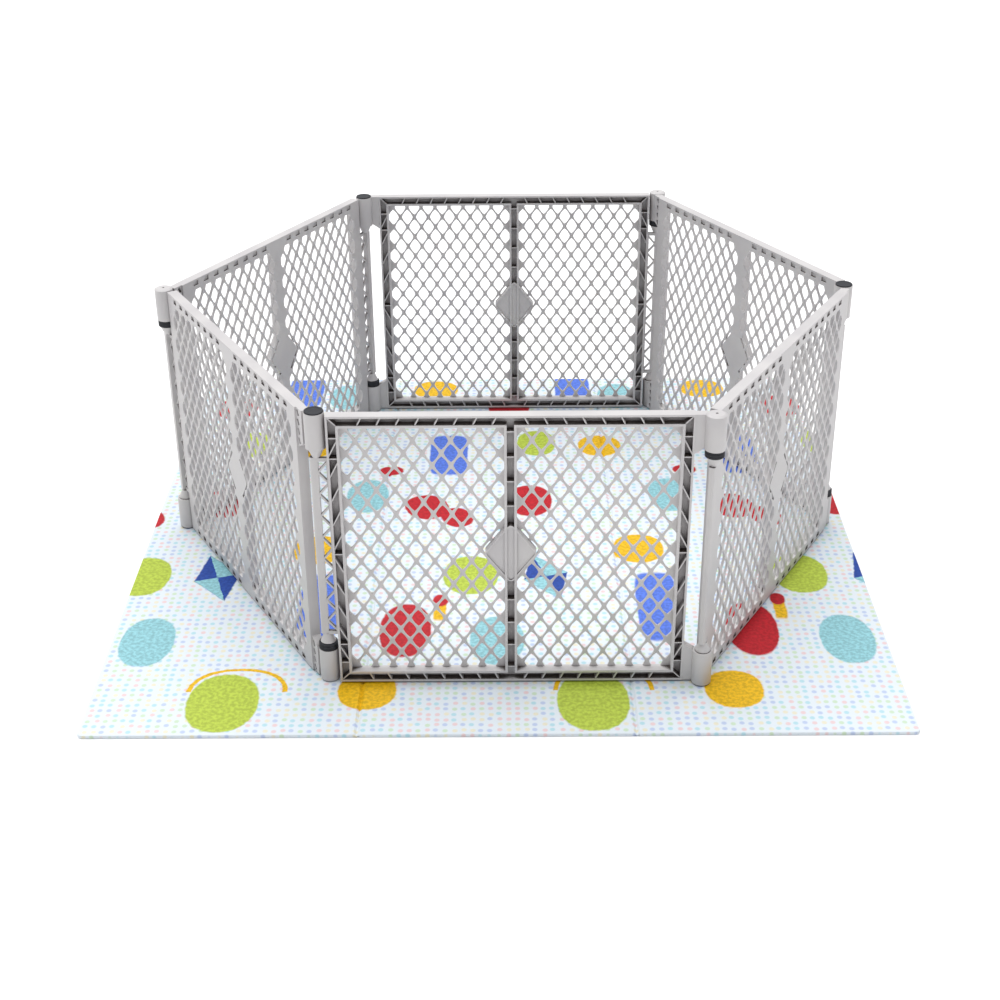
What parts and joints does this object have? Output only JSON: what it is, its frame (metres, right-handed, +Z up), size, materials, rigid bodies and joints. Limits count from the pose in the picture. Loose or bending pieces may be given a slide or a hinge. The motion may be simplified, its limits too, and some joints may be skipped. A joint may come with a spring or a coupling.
{
  "type": "playpen",
  "caption": "Folding hexagonal play fence of ribbed lattice panels joined by corner knuckle hinges, standing on a folding foam play mat.",
  "frame": {"origin": "bottom centre of the mat, on the floor", "axes": "+Z up, +Y from the front panel to the rear panel, along the mat's longer side, +X to the right"},
  "size_m": [1.77, 1.81, 0.6582],
  "materials": {
    "grey_plastic": "satin moulded plastic",
    "black_rubber": "matt rubber",
    "pin_plastic": "satin moulded plastic",
    "mat_foam": "printed film on foam"
  },
  "bodies": {
    "mat": {"play_mat": "mat_foam"},
    "front_side": {"front_panel": "grey_plastic", "front_dome_bracket": "grey_plastic", "front_pad_bracket": "grey_plastic", "front_rubber_ring": "black_rubber", "front_skid_pad": "black_rubber", "front_hinge_post": "grey_plastic", "front_hinge_pins": "pin_plastic"},
    "front_right_side": {"front_right_panel": "grey_plastic", "front_right_dome_bracket": "grey_plastic", "front_right_pad_bracket": "grey_plastic", "front_right_rubber_ring": "black_rubber", "front_right_skid_pad": "black_rubber", "front_right_hinge_post": "grey_plastic", "front_right_hinge_pins": "pin_plastic"},
    "rear_right_side": {"rear_right_panel": "grey_plastic", "rear_right_dome_bracket": "grey_plastic", "rear_right_pad_bracket": "grey_plastic", "rear_right_rubber_ring": "black_rubber", "rear_right_skid_pad": "black_rubber", "rear_right_hinge_post": "grey_plastic", "rear_right_hinge_pins": "pin_plastic"},
    "rear_side": {"rear_panel": "grey_plastic", "rear_dome_bracket": "grey_plastic", "rear_pad_bracket": "grey_plastic", "rear_rubber_ring": "black_rubber", "rear_skid_pad": "black_rubber", "rear_hinge_post": "grey_plastic"},
    "rear_left_side": {"rear_left_panel": "grey_plastic", "rear_left_dome_bracket": "grey_plastic", "rear_left_pad_bracket": "grey_plastic", "rear_left_rubber_ring": "black_rubber", "rear_left_skid_pad": "black_rubber", "rear_left_hinge_post": "grey_plastic", "rear_left_hinge_pins": "pin_plastic"},
    "front_left_side": {"front_left_panel": "grey_plastic", "front_left_dome_bracket": "grey_plastic", "front_left_pad_bracket": "grey_plastic", "front_left_rubber_ring": "black_rubber", "front_left_skid_pad": "black_rubber", "front_left_hinge_post": "grey_plastic", "front_left_hinge_pins": "pin_plastic"}
  },
  "joints": [
    {"name": "fence_lift", "type": "slide", "parent": "mat", "child": "front_side", "axis": [0, 0, 1], "range_m": [0, 0.3]},
    {"name": "fold", "type": "hinge", "parent": "front_side", "child": "front_left_side", "pos_m": [-0.36928, -0.69158, 0.3332], "axis": [0, 0, -1], "range_deg": [0, 120]},
    {"name": "left_corner", "type": "hinge", "parent": "front_left_side", "child": "rear_left_side", "pos_m": [-0.79743, 0, 0.3332], "axis": [0, 0, 1], "range_deg": [0, 240]},
    {"name": "rear_left_corner", "type": "hinge", "parent": "rear_left_side", "child": "rear_side", "pos_m": [-0.36928, 0.69158, 0.3332], "axis": [0, 0, -1], "range_deg": [0, 120]},
    {"name": "front_right_corner", "type": "hinge", "parent": "front_side", "child": "front_right_side", "pos_m": [0.44372, -0.71658, 0.3332], "axis": [0, 0, -1], "range_deg": [0, 240]},
    {"name": "right_corner", "type": "hinge", "parent": "front_right_side", "child": "rear_right_side", "pos_m": [0.82857, 0, 0.3332], "axis": [0, 0, 1], "range_deg": [0, 120]}
  ],
  "couplings": [
    {"joint": "left_corner", "follows": "fold", "ratio": 2},
    {"joint": "rear_left_corner", "follows": "fold", "ratio": 1},
    {"joint": "front_right_corner", "follows": "fold", "ratio": 2},
    {"joint": "right_corner", "follows": "fold", "ratio": 1}
  ]
}
